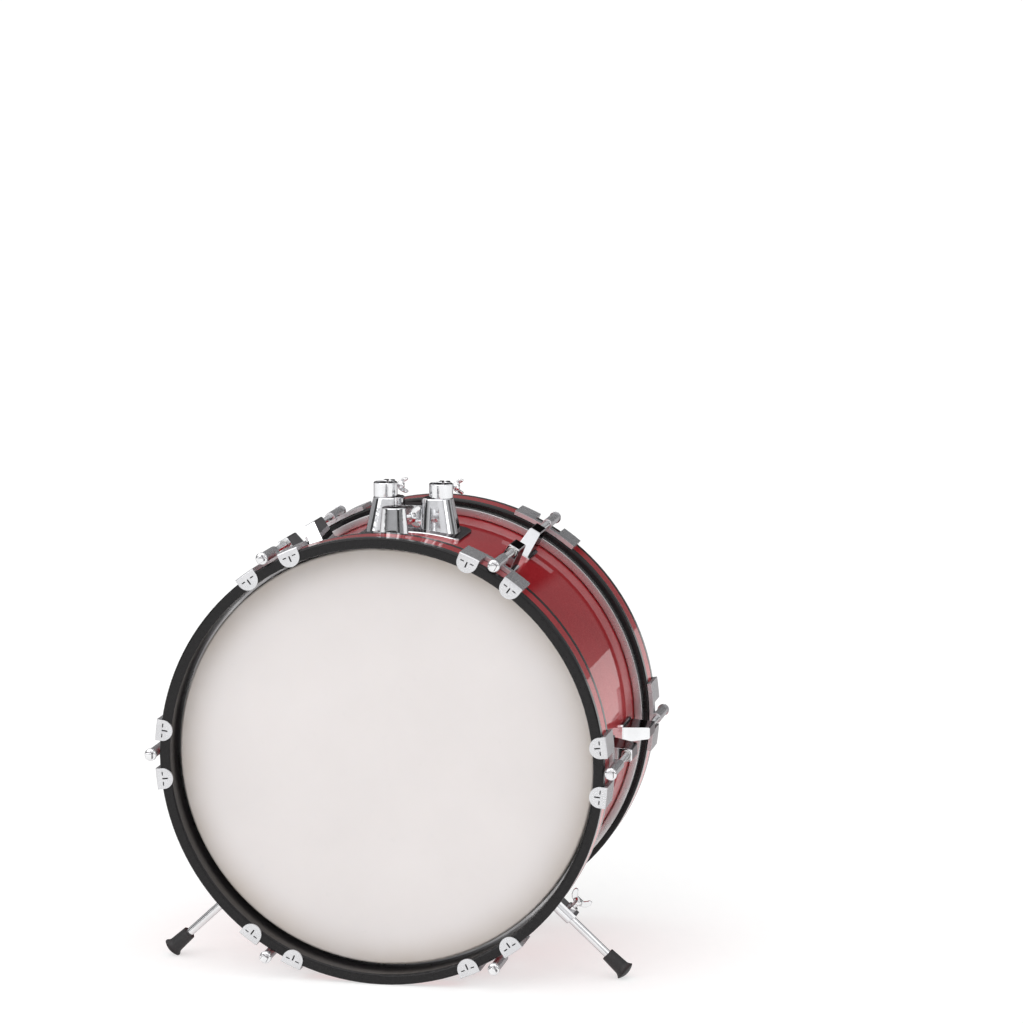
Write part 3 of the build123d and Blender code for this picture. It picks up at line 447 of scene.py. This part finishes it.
def rod_mesh(length):
    """Key rod along z: square head at the start, flange, plain shank, then thread to the end."""
    bm = bmesh.new()
    half = KEY_HEAD / 2
    bmesh.ops.create_cube(bm, size=1.0)
    bmesh.ops.scale(bm, vec=(KEY_HEAD, KEY_HEAD, HEAD_LENGTH + 1.2 * MM), verts=bm.verts)
    bmesh.ops.translate(bm, vec=(0, 0, (HEAD_LENGTH + 1.2 * MM) / 2), verts=bm.verts)
    bmesh.ops.bevel(bm, geom=list(bm.edges), offset=0.55 * MM, segments=3, affect="EDGES", profile=0.5)
    f0, f1 = HEAD_LENGTH, HEAD_LENGTH + FLANGE_LENGTH
    lathe(bm, [
        (0, f0 - 0.3 * MM), (half * 0.9, f0 - 0.3 * MM), (half * 1.15, f0 - 0.25 * MM),
        (FLANGE_R - 1.0 * MM, f0 + 0.15 * MM), (FLANGE_R - 0.3 * MM, f0 + 0.55 * MM),
        (FLANGE_R, f0 + 1.1 * MM),
        (FLANGE_R, f1 - 0.3 * MM), (FLANGE_R - 0.2 * MM, f1), (ROD_R + 0.4 * MM, f1), (ROD_R, f1 + 0.5 * MM),
        (ROD_R, THREAD_START), (ROD_R - 0.65 * MM, THREAD_START + 0.8 * MM),
        (ROD_R - 0.65 * MM, length - 0.4 * MM), (ROD_R - 1.1 * MM, length), (0, length),
    ])
    thread(bm, ROD_R, THREAD_PITCH, THREAD_START + 0.2 * MM, length - 1.0 * MM)
    return mesh_from(bm, "key_rod")


rod_low, rod_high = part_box("front_tension_rod_1")
shared_rod = rod_mesh(rod_high.y - rod_low.y)
shared_rod.materials.append(MATERIALS["tension_rod"])
for node in sorted(n for n in nodes if "_tension_rod_" in n):
    low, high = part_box(node)
    middle = (low + high) / 2
    outwards = Vector((middle.x, 0, middle.z - AXIS_Z))
    front = node.startswith("front")
    start = Vector((middle.x, low.y if front else high.y, middle.z))
    inwards = Vector((0, 1 if front else -1, 0))
    place(shared_rod, node.replace("tension", "threaded"), node, start, inwards, outwards)


# ------------------------------------------------------------------ wing bolts
EAR_THICKNESS = 1.25 * MM
MELT_SIZE = 0.32 * MM
# one ear's outline: share of the half span, share of the height above the shank
EAR_OUTLINE = (
    (0.08, 0.05), (0.34, 0.00), (0.62, 0.10), (0.86, 0.34), (0.985, 0.66), (0.95, 0.90),
    (0.80, 0.985), (0.62, 0.90), (0.47, 0.66), (0.33, 0.50), (0.08, 0.50),
)


def wing_bolt_mesh(name, shank_radius, shank_length, half_span, length):
    """Cast wing bolt along z, tip at 0: hub and two cupped ears melted into one, over a threaded shank."""
    height = length - shank_length
    bm = bmesh.new()
    for side in (-1, 1):
        rims = []
        for face_side in (-1, 1):
            rims.append([
                bm.verts.new((
                    side * u * half_span,
                    face_side * EAR_THICKNESS * (1.25 - 0.45 * u),
                    shank_length + w * height,
                ))
                for u, w in EAR_OUTLINE
            ])
        bm.faces.new(rims[0])
        bm.faces.new(list(reversed(rims[1])))
        for k in range(len(EAR_OUTLINE)):
            n = (k + 1) % len(EAR_OUTLINE)
            bm.faces.new((rims[0][k], rims[1][k], rims[1][n], rims[0][n]))
    hub = shank_radius + 2.0 * MM
    lathe(bm, [
        (0, shank_length - 0.1 * MM), (hub - 0.5 * MM, shank_length - 0.1 * MM),
        (hub, shank_length + 0.5 * MM),
        (hub - 0.3 * MM, shank_length + 3.2 * MM), (hub - 1.2 * MM, shank_length + 4.8 * MM),
        (hub - 2.6 * MM, shank_length + 5.6 * MM), (0, shank_length + 5.8 * MM),
    ])
    raw = bpy.data.objects.new(name + "_raw", mesh_from(bm, name + "_raw"))
    scene.collection.objects.link(raw)
    melt = raw.modifiers.new("melt", "REMESH")
    melt.mode = "VOXEL"
    melt.voxel_size = MELT_SIZE
    melt.use_smooth_shade = True
    relax = raw.modifiers.new("relax", "SMOOTH")
    relax.factor = 0.6
    relax.iterations = 5
    solid = bpy.data.meshes.new_from_object(raw.evaluated_get(bpy.context.evaluated_depsgraph_get()))
    bpy.data.objects.remove(raw)
    bm = bmesh.new()
    bm.from_mesh(solid)
    core = shank_radius - 0.62 * MM
    lathe(bm, [
        (0, 0), (core - 0.5 * MM, 0), (core, 0.5 * MM),
        (core, shank_length + 1 * MM), (0, shank_length + 1 * MM),
    ], 24)
    thread(bm, shank_radius, THREAD_PITCH, 0.4 * MM, shank_length + 1.4 * MM)
    mesh = mesh_from(bm, name)
    mesh.materials.append(MATERIALS["wing_bolt"])
    return mesh


for joint in frame["joints"]:
    node = joint["child"]
    if not node.endswith("wing_bolt"):
        continue
    axis = Vector(joint["axis"]).normalized()
    centre = Vector(joint["pos_m"])
    offsets = [v.co - centre for v in nodes[node].data.vertices]
    depths = [o.dot(axis) for o in offsets]
    tip, end = min(depths), max(depths)
    sides = [o - axis * d for o, d in zip(offsets, depths)]
    widest = max(sides, key=lambda o: o.length)
    shank = [(o.length, d) for o, d in zip(sides, depths)]
    shank_radius = max(r for r, d in shank if d < tip + 1.5 * MM)
    shank_end = min(d for r, d in shank if r > shank_radius + 1.0 * MM)
    made = wing_bolt_mesh(node + "_cast", shank_radius, shank_end - tip, widest.length, end - tip)
    place(made, node + "_cast", node, centre + axis * tip, axis, widest)


# ------------------------------------------------------------------ floor, lights and camera
FLOOR_HALF = 95.0
LIGHT_AIM = (0, 0, 0.25)
WORLD_TINT = (0.985, 0.985, 1.0, 1.0)
SUN_SPREAD = math.radians(70)
SUN_TILT = (math.radians(22), math.radians(-12), 0)


def studio_floor():
    mesh = bpy.data.meshes.new("studio_floor")
    half = FLOOR_HALF
    corners = [(-half, -half, 0), (half, -half, 0), (half, half, 0), (-half, half, 0)]
    mesh.from_pydata(corners, [], [(0, 1, 2, 3)])
    floor = bpy.data.objects.new("studio_floor", mesh)
    scene.collection.objects.link(floor)
    g = Graph("studio_paper")
    fibre = g.noise(60.0, 3.0)
    g.set(
        Base_Color=g.mix(g.span(fibre, 0.3, 0.7), rgb(0.43, 0.43, 0.43), rgb(0.46, 0.46, 0.455)),
        Roughness=0.9,
        Specular_IOR_Level=0.1,
        Emission_Color=rgb(1.0, 1.0, 0.995),
        Emission_Strength=0.60,
    )
    floor.data.materials.append(g.material)


def softbox(name, location, size, power):
    light = bpy.data.lights.new(name, "AREA")
    light.shape = "RECTANGLE"
    light.size, light.size_y = size
    light.energy = power
    lamp = bpy.data.objects.new(name, light)
    lamp.location = location
    aim = Vector(LIGHT_AIM) - Vector(location)
    lamp.rotation_euler = aim.to_track_quat("-Z", "Y").to_euler()
    lamp.visible_camera = False
    scene.collection.objects.link(lamp)


# the share of a flag's half width that is fully dark
FLAG_CORE = 0.6
# each dark flag: bearing from the drum's front and half width in degrees, and what light it leaves
FLAGS = (
    (-68.0, 16.0, 0.12), (52.0, 12.0, 0.15), (104.0, 14.0, 0.25),
    (-142.0, 16.0, 0.3), (176.0, 5.0, 0.06), (160.0, 4.0, 0.35),
)


def studio_world():
    """Pale surroundings, brighter overhead and in front of the drum and dimmer behind it, with a dim strip
    low down in front and a few dark flags for the chrome to pick up."""
    world = bpy.data.worlds.new("studio")
    scene.world = world
    world.use_nodes = True
    tree = world.node_tree
    background = tree.nodes["Background"]
    coords = tree.nodes.new("ShaderNodeTexCoord")
    split = tree.nodes.new("ShaderNodeSeparateXYZ")
    tree.links.new(coords.outputs["Generated"], split.inputs[0])

    depth, height = split.outputs["Y"], split.outputs["Z"]

    def ramp(value, low, high, to_low, to_high):
        made = tree.nodes.new("ShaderNodeMapRange")
        made.interpolation_type = "SMOOTHSTEP"
        limits = (("From Min", low), ("From Max", high), ("To Min", to_low), ("To Max", to_high))
        for key, number in limits:
            made.inputs[key].default_value = number
        tree.links.new(value, made.inputs["Value"])
        return made.outputs["Result"]

    def combine(operation, a, b=0.0):
        made = tree.nodes.new("ShaderNodeMath")
        made.operation = operation
        tree.links.new(a, made.inputs[0])
        if isinstance(b, bpy.types.NodeSocket):
            tree.links.new(b, made.inputs[1])
        else:
            made.inputs[1].default_value = b
        return made.outputs[0]

    def bearing_flag(centre, half_width, darkest):
        """A dark upright flag at a bearing from the drum's front, for an edge line on round chrome."""
        bearing = combine("ARCTAN2", split.outputs["X"], combine("MULTIPLY", split.outputs["Y"], -1.0))
        away = combine("ABSOLUTE", combine("SUBTRACT", bearing, math.radians(centre)))
        edge = math.radians(half_width)
        shade = ramp(away, edge * FLAG_CORE, edge, darkest, 1.0)
        return combine("MAXIMUM", shade, ramp(height, 0.45, 0.75, 0.0, 1.0))

    in_front = ramp(depth, -0.95, -0.55, 0.85, 0.48)
    behind = ramp(depth, 0.55, 0.93, 1.0, 0.42)
    level = combine("MAXIMUM", combine("MULTIPLY", in_front, behind), ramp(height, 0.40, 0.65, 0.0, 0.48))
    overhead = ramp(height, 0.25, 0.8, 1.0, 1.8)
    strip = combine("MAXIMUM", ramp(height, 0.02, 0.22, 0.45, 1.0), ramp(depth, -0.1, 0.4, 0.0, 1.0))
    strength = combine("MULTIPLY", combine("MULTIPLY", level, overhead), strip)
    for centre, half_width, darkest in FLAGS:
        strength = combine("MULTIPLY", strength, bearing_flag(centre, half_width, darkest))
    tree.links.new(strength, background.inputs["Strength"])
    background.inputs["Color"].default_value = WORLD_TINT


def studio_sun():
    sun = bpy.data.lights.new("ceiling", "SUN")
    sun.energy = 1.0
    sun.angle = SUN_SPREAD
    lamp = bpy.data.objects.new("ceiling", sun)
    lamp.rotation_euler = SUN_TILT
    scene.collection.objects.link(lamp)


studio_floor()
studio_world()
studio_sun()
softbox("key_left", (-2.8, -3.6, 2.6), (3.0, 2.6), 40.0)
softbox("fill_right", (3.4, -2.2, 2.0), (1.6, 2.4), 22.0)

YAW = math.radians(-11.277)
PITCH = math.radians(8.459)
camera = bpy.data.objects.new("camera", bpy.data.cameras.new("camera"))
camera.data.sensor_fit = "HORIZONTAL"
camera.data.sensor_width = 36.0
camera.data.lens = 136.26
camera.data.clip_start = 0.05
camera.data.clip_end = 200.0
camera.location = (0.833, -3.683, 1.0)
forward = Vector((
    math.sin(YAW) * math.cos(PITCH),
    math.cos(YAW) * math.cos(PITCH),
    -math.sin(PITCH),
))
camera.rotation_euler = forward.to_track_quat("-Z", "Y").to_euler()
scene.collection.objects.link(camera)
scene.camera = camera
scene.view_settings.view_transform = "Standard"
